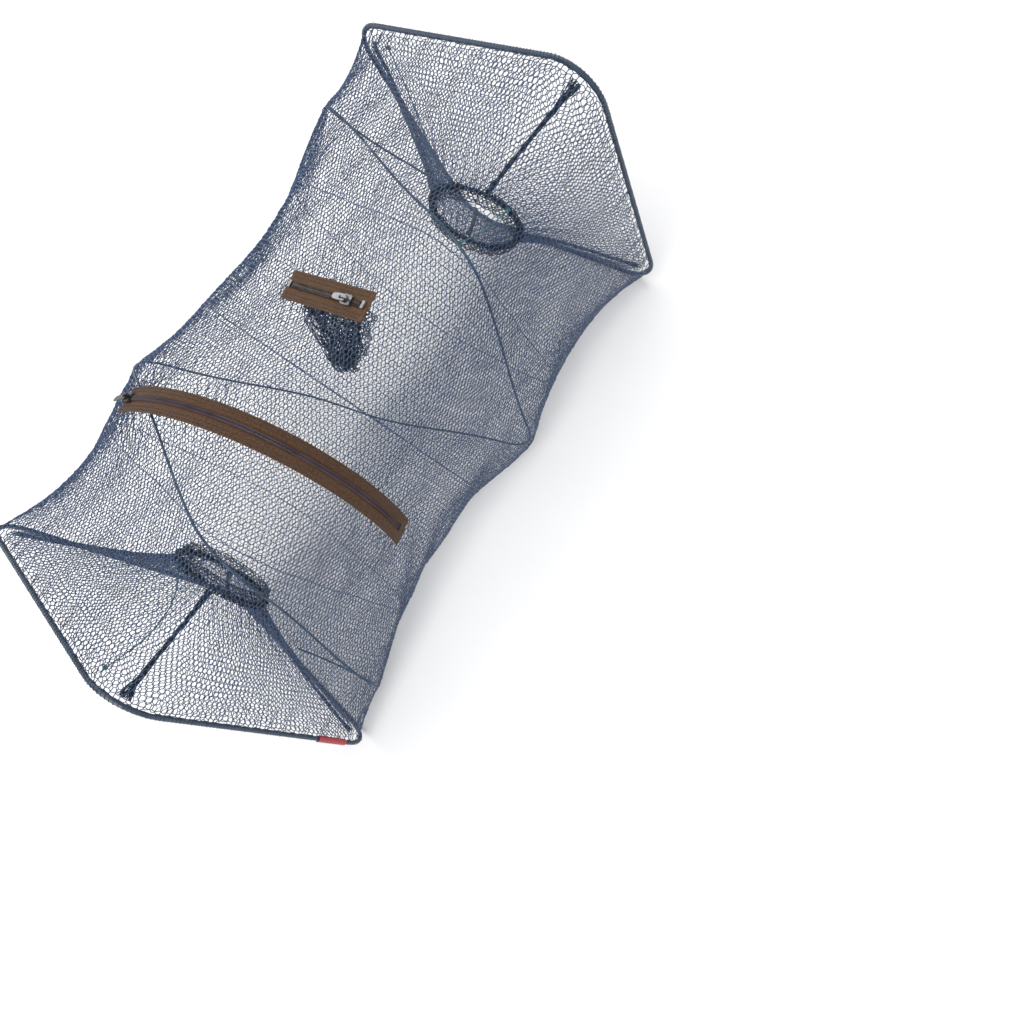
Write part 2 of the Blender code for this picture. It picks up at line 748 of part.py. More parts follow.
def make_pouch():
    """The bait pouch: a small net bag that hangs inside the tunnel under the bait zip."""
    rows, columns = 5, 16
    below = TAPE_THICKNESS + TAPE_OVER_NET + NET_WALL + POUCH_GAP
    middle = BAIT_PATH.at(BAIT_PATH.end / 2)[0] - BAIT_PATH.outward * below

    def ring(share, inset):
        half_long = mix(POUCH_MOUTH_HALF_LENGTH, POUCH_FOOT_HALF_LENGTH, smooth_step(share)) - inset
        bulge = math.sin(math.pi * min(share * 1.2, 1.0))
        half_wide = mix(POUCH_MOUTH_HALF_WIDTH, POUCH_WIDEST_HALF, bulge) - inset
        centre = middle + POUCH_DEPTH * share
        points = []
        for step in range(columns):
            angle = math.tau * step / columns
            run, aside = half_long * math.cos(angle), half_wide * math.sin(angle)
            points.append(centre + BAIT_PATH.along * run + BAIT_PATH.across * aside)
        return points

    def build(shape):
        shares = [row / rows for row in range(rows + 1)]
        outer = [[shape.verts.new(p) for p in ring(share, 0.0)] for share in shares]
        inner = [[shape.verts.new(p) for p in ring(share * 0.96, POUCH_WALL)] for share in shares]
        for spot in range(columns):
            after = (spot + 1) % columns
            for layer in (outer, inner):
                for near, far in zip(layer, layer[1:]):
                    shape.faces.new((near[spot], near[after], far[after], far[spot]))
            shape.faces.new((outer[0][spot], outer[0][after], inner[0][after], inner[0][spot]))
        shape.faces.new(outer[-1])
        shape.faces.new(inner[-1])

    add_node("bait_pouch", build, "mouth")


def main():
    clear_scene()
    for name, end in (("rear", -1), ("front", 1)):
        make_frame(f"{name}_frame", end * HALF_LENGTH)
        make_funnel(name, end)
        make_seams(name, end)
        make_mouth(name, end)
    make_sleeve()
    make_spring()
    make_body_net()
    make_twines()
    make_catch_zip()
    make_bait_zip()
    make_pouch()


main()
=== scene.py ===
"""The folding crab trap's looks: knitted net, gathered funnels, zips, lashing and twine.

Metres, X along the trap, Z up. The net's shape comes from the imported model's own net, and the
knitted strands are laid over it as real geometry.
"""

import math

import bpy
import numpy as np
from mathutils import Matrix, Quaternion, Vector
from mathutils.bvhtree import BVHTree


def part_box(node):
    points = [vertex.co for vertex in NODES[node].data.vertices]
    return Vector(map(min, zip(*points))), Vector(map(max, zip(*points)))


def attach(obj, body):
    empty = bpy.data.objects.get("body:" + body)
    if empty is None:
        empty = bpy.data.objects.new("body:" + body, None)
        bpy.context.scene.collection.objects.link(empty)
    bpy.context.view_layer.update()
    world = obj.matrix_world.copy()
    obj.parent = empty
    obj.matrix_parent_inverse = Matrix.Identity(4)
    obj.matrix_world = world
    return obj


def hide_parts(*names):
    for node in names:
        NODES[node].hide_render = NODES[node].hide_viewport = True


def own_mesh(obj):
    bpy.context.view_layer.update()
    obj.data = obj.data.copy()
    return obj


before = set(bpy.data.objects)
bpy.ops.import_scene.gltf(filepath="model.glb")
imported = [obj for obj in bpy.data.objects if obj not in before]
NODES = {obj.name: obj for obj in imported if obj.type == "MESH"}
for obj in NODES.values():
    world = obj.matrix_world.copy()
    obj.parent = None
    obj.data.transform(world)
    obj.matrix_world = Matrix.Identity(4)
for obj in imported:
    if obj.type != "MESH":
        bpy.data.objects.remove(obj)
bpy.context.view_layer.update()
RANDOM = np.random.default_rng(7)

# The trap's own dimensions, as the model has them
LENGTH = 0.460
SIDE = 0.240
HALF = LENGTH / 2
FRAME_WIRE = 0.0016
FRAME_CORNER = 0.034
FRONT_RACK = math.radians(10)
REAR_RACK = math.radians(-3)
SPRING_WIRE = 0.0011
SPRING_HALF_WIDTH = 0.1137
SPRING_CORNER = 0.040
SPRING_TURNS = 1.93
SPRING_START = math.radians(-135)
SPRING_END_GAP = 0.012
FOLDED_LENGTH = 0.066
FUNNEL_DEPTH = 0.055
FUNNEL_RIM_HALF_WIDTH = 0.1160
MOUTH_FOLD = 0.045
RING_RADIUS = 0.0375
FRONT_MOUTH_YAW = math.radians(18)
CATCH_CENTRE = np.array([-0.100, 0.012, 0.126])
CATCH_RADIUS = 0.124
CATCH_AXIS = np.array([1.0, 0.381, -0.211])
CATCH_CHAIN = (math.radians(-14.2), math.radians(98.0))
CATCH_TAPE = (math.radians(-16.2), math.radians(103.0))
BAIT_START = np.array([0.0380, -0.0135, 0.2335])
BAIT_END = np.array([0.0500, -0.0905, 0.2305])
BAIT_LENGTH = float(np.linalg.norm(BAIT_END - BAIT_START))
BAIT_MARGIN = 0.006
TAPE_WIDTH = 0.0105
TUNNEL_MIDDLE = 0.120

# The knitted mesh
CELL = 0.0037
ROW_PITCH = 0.0034
STRAND = 0.00034
NET_ROUND = 0.905
NET_PARTS = 4
FOLD_KEEP = FOLDED_LENGTH / LENGTH
FUNNEL_KEEP = (FUNNEL_DEPTH - MOUTH_FOLD) / FUNNEL_DEPTH
POUCH_LEVELS = 9
POUCH_ROWS = 26

UP = np.array([0.0, 0.0, 1.0])
X_AXIS = np.array([1.0, 0.0, 0.0])


def unit(vectors):
    return vectors / np.maximum(np.linalg.norm(vectors, axis=-1, keepdims=True), 1e-12)


# ---------------------------------------------------------------- camera, light and floor


def make_camera():
    data = bpy.data.cameras.new("camera")
    data.lens = 26.0
    data.sensor_width = 36.0
    camera = bpy.data.objects.new("camera", data)
    camera.location = (-0.0058, -0.4567, 0.5259)
    aim = Vector((0.0038, 0.5530, -0.8332))
    roll = Quaternion((0, 0, 1), math.radians(-55.57))
    camera.rotation_mode = "QUATERNION"
    camera.rotation_quaternion = aim.to_track_quat("-Z", "Y") @ roll
    bpy.context.scene.collection.objects.link(camera)
    bpy.context.scene.camera = camera


def make_lights():
    world = bpy.data.worlds.new("studio")
    world.use_nodes = True
    world.node_tree.nodes["Background"].inputs["Color"].default_value = (1.0, 1.0, 1.0, 1.0)
    world.node_tree.nodes["Background"].inputs["Strength"].default_value = 0.80
    bpy.context.scene.world = world
    bpy.context.scene.view_settings.view_transform = "Standard"
    for name, place, size, power in (
        ("key", (-0.9, -1.0, 1.9), 1.6, 26.0),
        ("fill", (1.4, 0.5, 1.6), 1.8, 12.0),
        ("back", (-0.3, 1.6, 1.3), 1.4, 8.0),
    ):
        data = bpy.data.lights.new(name, "AREA")
        data.size = size
        data.energy = power
        lamp = bpy.data.objects.new(name, data)
        lamp.location = place
        lamp.rotation_euler = (Vector((0, 0, 0.1)) - Vector(place)).to_track_quat("-Z", "Y").to_euler()
        bpy.context.scene.collection.objects.link(lamp)


# ---------------------------------------------------------------- materials


def shader_of(name, roughness, metallic=0.0):
    made = bpy.data.materials.new(name)
    made.use_nodes = True
    shader = made.node_tree.nodes["Principled BSDF"]
    shader.inputs["Roughness"].default_value = roughness
    shader.inputs["Metallic"].default_value = metallic
    return made, made.node_tree, shader


def varied(tree, shader, low, high, scale, detail=4.0, stretch=(1, 1, 1), roughness=None):
    """Colour that wanders between two values over the surface, and roughness with it."""
    place = tree.nodes.new("ShaderNodeTexCoord")
    mapping = tree.nodes.new("ShaderNodeMapping")
    mapping.inputs["Scale"].default_value = stretch
    noise = tree.nodes.new("ShaderNodeTexNoise")
    noise.inputs["Scale"].default_value = scale
    noise.inputs["Detail"].default_value = detail
    ramp = tree.nodes.new("ShaderNodeValToRGB")
    ramp.color_ramp.elements[0].position = 0.30
    ramp.color_ramp.elements[1].position = 0.72
    ramp.color_ramp.elements[0].color = (*low, 1.0)
    ramp.color_ramp.elements[1].color = (*high, 1.0)
    tree.links.new(place.outputs["Object"], mapping.inputs["Vector"])
    tree.links.new(mapping.outputs["Vector"], noise.inputs["Vector"])
    tree.links.new(noise.outputs["Fac"], ramp.inputs["Fac"])
    tree.links.new(ramp.outputs["Color"], shader.inputs["Base Color"])
    if roughness:
        spread = tree.nodes.new("ShaderNodeMapRange")
        spread.inputs["To Min"].default_value = roughness[0]
        spread.inputs["To Max"].default_value = roughness[1]
        tree.links.new(noise.outputs["Fac"], spread.inputs["Value"])
        tree.links.new(spread.outputs["Result"], shader.inputs["Roughness"])
    return mapping, noise


def bumped(tree, shader, height, strength, distance):
    bump = tree.nodes.new("ShaderNodeBump")
    bump.inputs["Strength"].default_value = strength
    bump.inputs["Distance"].default_value = distance
    tree.links.new(height, bump.inputs["Height"])
    tree.links.new(bump.outputs["Normal"], shader.inputs["Normal"])


def yarn_material(name, low, high, sheen=0.3, roughness=0.55, twist=2600.0):
    """Twisted plastic yarn: a fine diagonal twist and colour that wanders along it."""
    made, tree, shader = shader_of(name, roughness)
    mapping, _noise = varied(tree, shader, low, high, 160.0, roughness=(roughness - 0.1, roughness + 0.15))
    shader.inputs["Sheen Weight"].default_value = sheen
    shader.inputs["Sheen Roughness"].default_value = 0.4
    wave = tree.nodes.new("ShaderNodeTexWave")
    wave.bands_direction = "DIAGONAL"
    wave.inputs["Scale"].default_value = twist
    wave.inputs["Distortion"].default_value = 1.5
    tree.links.new(mapping.outputs["Vector"], wave.inputs["Vector"])
    bumped(tree, shader, wave.outputs["Fac"], 0.5, 0.0001)
    return made


def coated_material(name, low, high, roughness=0.3):
    """Plastic coating on wire: smooth, a little uneven, with a clear top."""
    made, tree, shader = shader_of(name, roughness)
    _mapping, noise = varied(tree, shader, low, high, 90.0, roughness=(roughness - 0.08, roughness + 0.14))
    shader.inputs["Coat Weight"].default_value = 0.35
    shader.inputs["Coat Roughness"].default_value = 0.2
    bumped(tree, shader, noise.outputs["Fac"], 0.25, 0.0002)
    return made


def metal_material(name, low, high, roughness):
    """Cast or plated metal, brushed along one way and worn in patches."""
    made, tree, shader = shader_of(name, roughness, metallic=1.0)
    _mapping, noise = varied(
        tree, shader, low, high, 420.0, stretch=(1, 0.25, 1), roughness=(roughness - 0.1, roughness + 0.18)
    )
    bumped(tree, shader, noise.outputs["Fac"], 0.2, 0.0001)
    return made


def tape_material(name, low, high, along):
    """Woven zip tape: fine ribs across it, warp threads along it, and a heathered colour."""
    made, tree, shader = shader_of(name, 0.85)
    _mapping, _noise = varied(tree, shader, low, high, 900.0, detail=2.0, roughness=(0.75, 0.95))
    shader.inputs["Sheen Weight"].default_value = 0.05
    shader.inputs["Specular IOR Level"].default_value = 0.2
    place = tree.nodes.new("ShaderNodeTexCoord")
    waves = []
    for direction, pitch in ((along, 0.00085), (np.cross(along, UP), 0.0007)):
        turn = tree.nodes.new("ShaderNodeVectorMath")
        turn.operation = "DOT_PRODUCT"
        turn.inputs[1].default_value = unit(np.asarray(direction, float))
        wave = tree.nodes.new("ShaderNodeMath")
        wave.operation = "MULTIPLY"
        wave.inputs[1].default_value = math.tau / pitch
        sine = tree.nodes.new("ShaderNodeMath")
        sine.operation = "SINE"
        tree.links.new(place.outputs["Object"], turn.inputs[0])
        tree.links.new(turn.outputs["Value"], wave.inputs[0])
        tree.links.new(wave.outputs["Value"], sine.inputs[0])
        waves.append(sine)
    woven = tree.nodes.new("ShaderNodeMath")
    woven.operation = "MULTIPLY"
    tree.links.new(waves[0].outputs["Value"], woven.inputs[0])
    tree.links.new(waves[1].outputs["Value"], woven.inputs[1])
    bumped(tree, shader, woven.outputs["Value"], 0.7, 0.0003)
    return made


# ---------------------------------------------------------------- mesh helpers


def object_from(name, points, quads, material, smooth=True):
    mesh = bpy.data.meshes.new(name)
    points = np.asarray(points, np.float32).reshape(-1, 3)
    quads = np.asarray(quads, np.int32).reshape(-1, 4)
    mesh.vertices.add(len(points))
    mesh.vertices.foreach_set("co", points.ravel())
    mesh.loops.add(quads.size)
    mesh.loops.foreach_set("vertex_index", quads.ravel())
    mesh.polygons.add(len(quads))
    mesh.polygons.foreach_set("loop_start", np.arange(0, quads.size, 4, dtype=np.int32))
    mesh.update(calc_edges=True)
    mesh.validate()
    if smooth:
        mesh.shade_smooth()
    mesh.materials.append(material)
    made = bpy.data.objects.new(name, mesh)
    bpy.context.scene.collection.objects.link(made)
    return made


class Strands:
    """Collects many thin tubes into one mesh."""

    def __init__(self, sides=3):
        self.sides = sides
        self.points = []
        self.quads = []
        self.count = 0

    def add(self, paths, radius, closed=False, normals=None):
        """paths is (strands, points, 3). Each becomes a tube of the given radius."""
        paths = np.asarray(paths, float)
        if paths.ndim == 2:
            paths = paths[None]
        amount, length = paths.shape[:2]
        if closed:
            tangent = np.roll(paths, -1, 1) - np.roll(paths, 1, 1)
        else:
            tangent = np.gradient(paths, axis=1)
        tangent = unit(tangent)
        normals = np.broadcast_to(X_AXIS if normals is None else normals, paths.shape)
        first = np.cross(normals, tangent)
        weak = np.linalg.norm(first, axis=-1, keepdims=True) < 0.05
        first = unit(np.where(weak, np.cross(UP + 0.3, tangent), first))
        second = np.cross(tangent, first)
        angles = np.arange(self.sides) * math.tau / self.sides
        radius = np.asarray(radius, float)
        radius = np.broadcast_to(radius, paths.shape[:2])[..., None, None]
        ring = first[:, :, None] * np.cos(angles)[:, None] + second[:, :, None] * np.sin(angles)[:, None]
        points = paths[:, :, None] + ring * radius
        index = np.arange(amount * length * self.sides).reshape(amount, length, self.sides) + self.count
        near, far = (index, np.roll(index, -1, 1)) if closed else (index[:, :-1], index[:, 1:])
        quads = np.stack([near, np.roll(near, -1, 2), np.roll(far, -1, 2), far], -1)
        self.points.append(points.reshape(-1, 3))
        self.quads.append(quads.reshape(-1, 4))
        self.count += points.size // 3

    def build(self, name, material):
        return object_from(name, np.concatenate(self.points), np.concatenate(self.quads), material)


# ---------------------------------------------------------------- the trap's lines


def rack_at(x):
    return REAR_RACK + (FRONT_RACK - REAR_RACK) * (np.asarray(x) + HALF) / LENGTH


def middle_height(x):
    return FRAME_WIRE * math.cos(math.pi / 8) + SIDE / 2 * np.cos(rack_at(x))


def section_point(x, side, up):
    """A distance towards -Y and up from the tunnel's middle, leaning with the frames."""
    x, side, up = np.broadcast_arrays(np.asarray(x, float), side, up)
    rack = rack_at(x)
    return np.stack([x, -side - up * np.sin(rack), middle_height(x) + up * np.cos(rack)], -1)


def rounded_square(turn, half_width, corner):
    local = np.abs((turn + math.pi / 4) % (math.pi / 2) - math.pi / 4)
    straight = half_width - corner
    flat = half_width * np.tan(local) <= straight
    toward = straight * (np.cos(local) + np.sin(local))
    inside = np.maximum(toward * toward - (2 * straight * straight - corner * corner), 0)
    return np.where(flat, half_width / np.cos(local), toward + np.sqrt(inside))


def square_loop(x, half_width, corner, count):
    """Evenly spaced points round a rounded square."""
    turns = np.linspace(0, math.tau, 4 * count, endpoint=False)
    reach = rounded_square(turns, half_width, corner)
    loop = section_point(x, np.sin(turns) * reach, np.cos(turns) * reach)
    return evenly(loop, count)


def evenly(loop, count):
    """A closed loop resampled at even distances."""
    closed = np.concatenate([loop, loop[:1]])
    travelled = np.concatenate([[0], np.cumsum(np.linalg.norm(np.diff(closed, axis=0), axis=1))])
    wanted = np.linspace(0, travelled[-1], count, endpoint=False)
    return np.stack([np.interp(wanted, travelled, closed[:, axis]) for axis in range(3)], -1)


def spring_path(count):
    x = np.linspace(HALF - SPRING_END_GAP, -HALF + SPRING_END_GAP, count)
    turn = SPRING_START + (HALF - x) / LENGTH * math.tau * SPRING_TURNS
    reach = rounded_square(turn, SPRING_HALF_WIDTH, SPRING_CORNER)
    return section_point(x, np.sin(turn) * reach, np.cos(turn) * reach)


def mouth_centre(end):
    low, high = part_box("front_mouth_ring" if end > 0 else "rear_mouth_ring")
    return np.array((low + high) / 2)


def mouth_facing(end):
    """The way the mouth faces, outwards, and the way to its near side."""
    yaw = FRONT_MOUTH_YAW if end > 0 else 0.0
    facing = np.array([math.cos(yaw), math.sin(yaw), 0.0]) * end
    return facing, np.array([math.sin(yaw), -math.cos(yaw), 0.0])


def mouth_point(end, turn, radius, ahead):
    """Points at a turn and radius round the mouth, a distance ahead of its ring."""
    facing, near = mouth_facing(end)
    turn, radius, ahead = np.broadcast_arrays(turn, radius, ahead)
    round_it = np.sin(turn)[..., None] * near + np.cos(turn)[..., None] * UP
    return mouth_centre(end) + facing * ahead[..., None] + round_it * radius[..., None]


def ring_loop(end, radius, ahead, count):
    turn = np.linspace(0, math.tau, count, endpoint=False)
    return mouth_point(end, turn, radius, ahead)


def funnel_point(end, turn, share, offset):
    """Points on the funnel: share 0 at the frame, 1 at the mouth, offset outwards from its middle."""
    turn, share = np.broadcast_arrays(turn, share)
    reach = rounded_square(turn, FUNNEL_RIM_HALF_WIDTH, FRAME_CORNER) + offset
    rim = section_point(end * HALF, np.sin(turn) * reach, np.cos(turn) * reach)
    ring = mouth_point(end, turn, RING_RADIUS + 0.001 + offset, 0.0021)
    inward = (1 - (1 - share) ** 1.25)[..., None]
    line = rim * (1 - inward) + ring * inward
    line[..., 0] = rim[..., 0] * (1 - share) + ring[..., 0] * share
    return line


def catch_frame(angle):
    """Points on the catch zip's arc, with the ways along, out and across."""
    axis = unit(CATCH_AXIS)
    first = unit(UP - axis * axis.dot(UP))
    second = np.cross(axis, first)
    angle = np.asarray(angle, float)[..., None]
    out = np.cos(angle) * first + np.sin(angle) * second
    along = -np.sin(angle) * first + np.cos(angle) * second
    return CATCH_CENTRE + CATCH_RADIUS * out, along, out, np.broadcast_to(axis, out.shape)


def bait_frame(distance):
    along = unit(BAIT_END - BAIT_START)
    across = unit(np.cross(UP, along))
    out = np.cross(along, across)
    points = BAIT_START + along * np.asarray(distance, float)[..., None]
    return points, *(np.broadcast_to(way, points.shape) for way in (along, out, across))


# ---------------------------------------------------------------- net surfaces


def surface_of(node, stations, count, lift):
    """The CAD solid's inner wall seen from the tunnel's middle, as rings of even points."""
    mesh = NODES[node].data
    tree = BVHTree.FromPolygons([v.co for v in mesh.vertices], [list(p.vertices) for p in mesh.polygons])
    turns = np.linspace(0, math.tau, 240, endpoint=False)
    rings = []
    for x in stations:
        reach = np.full(len(turns), np.nan)
        for index, turn in enumerate(turns):
            hit = tree.ray_cast(Vector((x, 0, TUNNEL_MIDDLE)), Vector((0, -math.sin(turn), math.cos(turn))))
            if hit[3] is not None:
                reach[index] = hit[3] + lift
        known = ~np.isnan(reach)
        reach = np.interp(turns, turns[known], reach[known], period=math.tau)
        height = TUNNEL_MIDDLE + np.cos(turns) * reach
        ring = np.stack([np.full(len(turns), x), -np.sin(turns) * reach, height], -1)
        rings.append(evenly(ring, count))
    return np.stack(rings)


def zip_ripple(points):
    """How far the net puckers beside the zips: short waves that die away from the tape."""
    lift = np.zeros(points.shape[:-1])
    for path, ends, spacing in (
        (catch_frame, CATCH_TAPE, 0.0085 / CATCH_RADIUS),
        (bait_frame, (0.0, BAIT_LENGTH), 0.0075),
    ):
        where = np.linspace(ends[0], ends[1], 90)
        line, _along, _out, across = path(where)
        nearest = np.linalg.norm(points[..., None, :] - line, axis=-1).argmin(-1)
        offset = points - line[nearest]
        away = np.linalg.norm(offset, axis=-1) - TAPE_WIDTH
        aside = np.einsum("...i,...i->...", offset, across[nearest])
        wave = np.sin(where[nearest] * math.tau / spacing + aside * 260.0)
        lift += 0.0016 * wave * np.exp(-np.maximum(away, 0) / 0.016) * (away > -0.002)
    return lift


def relaxed(surface, fixed, rounds, pull):
    """The net drawn tight between what holds it, with a little sag under its weight."""
    surface = surface.copy()
    free = ~fixed[..., None]
    for _round in range(rounds):
        around = (np.roll(surface, 1, 1) + np.roll(surface, -1, 1)) / 2
        lengthwise = surface.copy()
        lengthwise[1:-1] = (surface[2:] + surface[:-2]) / 2
        moved = surface + 0.5 * (0.35 * around + 0.65 * lengthwise - surface)
        moved[..., 2] -= pull
        surface = np.where(free, moved, surface)
    return surface


def knit(surface, rows, strands, radius, jitter=0.0002, loosen=0.16):
    """Lays a knitted honeycomb over a surface (stations, columns, 3), the columns closed round."""
    stations, columns = surface.shape[:2]
    zig = 0.17
    outward = unit(surface - surface.mean(1, keepdims=True))

    def at(rows_wanted):
        """Surface points at fractional rows, one for each column."""
        place = np.clip(rows_wanted, 0, stations - 1.001)
        low = place.astype(int)
        share = (place - low)[..., None]
        column = np.arange(columns)
        return surface[low, column] * (1 - share) + surface[low + 1, column] * share

    scale = (stations - 1) / rows
    wobble = RANDOM.normal(0, jitter, (rows + 1, columns, 3))
    lines = []
    for row in range(rows + 1):
        sign = np.where((np.arange(columns) + row) % 2 == 0, 1.0, -1.0)
        lean = np.full(columns, row, float) + zig * sign + RANDOM.normal(0, loosen * 0.25, columns)
        lines.append(at(lean * scale) + wobble[row])
    lines = np.stack(lines)
    strands.add(lines, radius, closed=True, normals=X_AXIS)
    column = np.arange(columns)
    for row in range(rows):
        joined = column[(column + row) % 2 == 0]
        links = np.stack([lines[row, joined], lines[row + 1, joined]], 1)
        normal = outward[min(int(row * scale), stations - 1), joined][:, None]
        strands.add(links, radius * 1.15, normals=normal)


def make_body_net(material):
    stations = np.linspace(-HALF + 0.0032, HALF - 0.0032, 113)
    columns = 2 * round(NET_ROUND / CELL)
    surface = surface_of("body_net", stations, columns, 0.0006)
    surface[0, :, 0] = -HALF + 0.0014
    surface[-1, :, 0] = HALF - 0.0014
    fixed = held_places(surface)
    surface = relaxed(surface, fixed, 60, 0.000004)
    outward = unit(surface - surface.mean(1, keepdims=True))
    ends = np.minimum(surface[..., 0] + HALF, HALF - surface[..., 0])
    count = np.arange(columns)
    gather = 0.0012 * np.sin(count * math.tau / 9 + 1.3 * np.sin(count * 0.11)) * np.exp(-ends / 0.014)
    creases = crease(surface, columns)
    surface = surface + outward * (zip_ripple(surface) + gather + creases)[..., None]
    surface[..., 2] = np.maximum(surface[..., 2], 0.0009)
    rows = round(LENGTH / ROW_PITCH)
    per_part = rows // NET_PARTS
    pieces = []
    for part in range(NET_PARTS):
        first = part * per_part
        last = rows if part == NET_PARTS - 1 else first + per_part
        low = round(first * (len(stations) - 1) / rows)
        high = round(last * (len(stations) - 1) / rows)
        strands = Strands()
        knit(surface[low : high + 1], last - first, strands, STRAND)
        piece = strands.build(f"body_net_knit_{part + 1}", material)
        pieces.append(piece)
    return pieces


def held_places(surface):
    """True where a frame, the spring or a zip holds the net."""
    fixed = np.zeros(surface.shape[:2], bool)
    fixed[:2] = True
    fixed[-2:] = True
    lines = [spring_path(420), catch_frame(np.linspace(*CATCH_TAPE, 80))[0]]
    lines.append(bait_frame(np.linspace(0, BAIT_LENGTH, 30))[0])
    for line, reach in zip(lines, (0.0052, TAPE_WIDTH + 0.004, TAPE_WIDTH + 0.004)):
        for point in line:
            near = np.abs(surface[:, 0, 0] - point[0]) < reach + 0.005
            fixed[near] |= np.linalg.norm(surface[near] - point, axis=-1) < reach
    return fixed


def crease(surface, columns):
    """Long soft folds across the slack net, deepest halfway along."""
    count = np.arange(columns) / columns * math.tau
    x = surface[..., 0]
    folds = 0.0016 * np.sin(count * 8 + x * 34) * np.sin((x + HALF) / LENGTH * math.pi) ** 2
    folds += 0.0009 * np.sin(count * 17 - x * 61 + 0.8)
    return folds - 0.001


# ---------------------------------------------------------------- pieces


def squash_ride(piece, body):
    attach(piece, body)
    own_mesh(piece)


def make_spring(material):
    strands = Strands(sides=10)
    path = spring_path(700)
    strands.add(path, SPRING_WIRE - 0.0002)
    spring = strands.build("coil_spring", material)
    squash_ride(spring, "rear_end")
    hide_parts("spring_wire")


def make_lashing(name, body, x, material):
    """Thread wound round the frame's wire at the net's edge, a little thicker now and then."""
    inward = -np.sign(x)
    loop = square_loop(x, SIDE / 2, FRAME_CORNER, 2800)
    tangent = unit(np.roll(loop, -1, 0) - np.roll(loop, 1, 0))
    side = np.broadcast_to(X_AXIS, loop.shape)
    out = np.cross(tangent, side)
    strands = Strands(sides=5)
    wraps = 310
    turn = np.linspace(0, math.tau * wraps, len(loop), endpoint=False)
    swell = 1 + 0.10 * np.sin(turn / 7.3) ** 8
    reach = (FRAME_WIRE + 0.00008) * swell
    coil = loop + (side * np.cos(turn)[:, None] + out * np.sin(turn)[:, None]) * reach[:, None]
    coil[:, 2] = np.maximum(coil[:, 2], 0.0002)
    strands.add(coil, 0.00019, closed=True)
    hem = loop + side * inward * 0.0019 + out * 0.0003 * np.sin(turn / 3.0)[:, None]
    strands.add(hem[::4], 0.00030, closed=True)
    lashing = strands.build(name, material)
    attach(lashing, body)


def make_funnel(name, end, material):
    columns = 2 * 176
    turns = np.linspace(0, math.tau, 4 * columns, endpoint=False)
    rim = funnel_point(end, turns, 0.0, 0.0)
    travelled = np.concatenate([[0], np.cumsum(np.linalg.norm(np.diff(rim, axis=0), axis=1))])
    turns = np.interp(np.linspace(0, travelled[-1], columns, endpoint=False), travelled, turns)
    share = np.linspace(0.012, 1, 40)[:, None]
    surface = funnel_point(end, turns, share, -0.0004)
    count = np.arange(columns)
    outward = unit(surface - surface.mean(1, keepdims=True))
    pleat = 0.0010 * np.sin(count * math.tau / 11 + 0.9 * np.sin(count * 0.13)) * (0.25 + 0.75 * share**2)
    surface = surface + outward * pleat[..., None]
    strands = Strands()
    knit(surface, 26, strands, STRAND)
    net = strands.build(f"{name}_funnel_knit", material)
    squash_ride(net, f"{name}_end")
    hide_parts(f"{name}_funnel_net")


def node_path(node, count, x_from, x_to):
    """The middle line of a thin CAD tube that runs along X."""
    points = np.array([v.co for v in NODES[node].data.vertices])
    order = np.argsort(points[:, 0])
    x = points[order, 0]
    wanted = np.linspace(x_from, x_to, count)
    half = abs(x_to - x_from) / (count - 1)
    line = []
    for place in wanted:
        near = points[order][np.abs(x - place) <= half]
        line.append(near.mean(0) if len(near) else (place, *line[-1][1:]))
    return np.array(line)


def smooth_path(points, count):
    """A smooth line through a few points."""
    steps = np.linspace(0, len(points) - 1, count)
    low = np.clip(steps.astype(int), 0, len(points) - 2)
    share = (steps - low)[:, None]
    padded = np.concatenate([2 * points[:1] - points[1:2], points, 2 * points[-1:] - points[-2:-1]])
    a, b, c, d = (padded[low + shift] for shift in range(4))
    return 0.5 * (2 * b + (c - a) * share + (2 * a - 5 * b + 4 * c - d) * share**2
                  + (3 * b - a - 3 * c + d) * share**3)


def make_seams(name, end, material):
    """Gathered net sewn together down each corner of the funnel, fanned out at both ends."""
    for quarter, corner in enumerate(("top_near", "bottom_near", "bottom_far", "top_far")):
        node = f"{name}_funnel_seam_{corner}"
        path = funnel_point(end, math.pi / 4 + quarter * math.pi / 2, np.linspace(0.012, 0.985, 170), -0.0030)
        tangent = unit(np.gradient(path, axis=0))
        first = unit(np.cross(tangent, X_AXIS))
        second = np.cross(tangent, first)
        strands = Strands(sides=4)
        travel = np.linspace(0, 1, len(path))
        fan = 0.0010 + 0.0034 * np.exp(-travel / 0.09) + 0.0022 * np.exp(-(1 - travel) / 0.10)
        for _strand in range(24):
            phase = RANDOM.uniform(0, math.tau)
            aside = RANDOM.uniform(-1, 1) * fan + 0.0005 * np.sin(travel * RANDOM.uniform(20, 60) + phase)
            depth = 0.0007 * np.sin(travel * RANDOM.uniform(14, 44) + phase * 1.7)
            offset = first * aside[:, None] + second * depth[:, None]
            strands.add(path + offset, 0.00032)
        tie = np.arange(0.06, 0.98, 0.045)
        for where in tie:
            spot = int(where * (len(path) - 1))
            turn = np.linspace(0, math.tau * 1.6, 26)
            loop = path[spot] + first[spot] * (np.cos(turn) * 0.0013)[:, None]
            loop = loop + second[spot] * (np.sin(turn) * 0.0010)[:, None]
            loop = loop + tangent[spot] * (turn * 0.0002)[:, None]
            strands.add(loop, 0.00030)
        seam = strands.build(f"{node}_gather", material)
        squash_ride(seam, f"{name}_end")
        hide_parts(node)


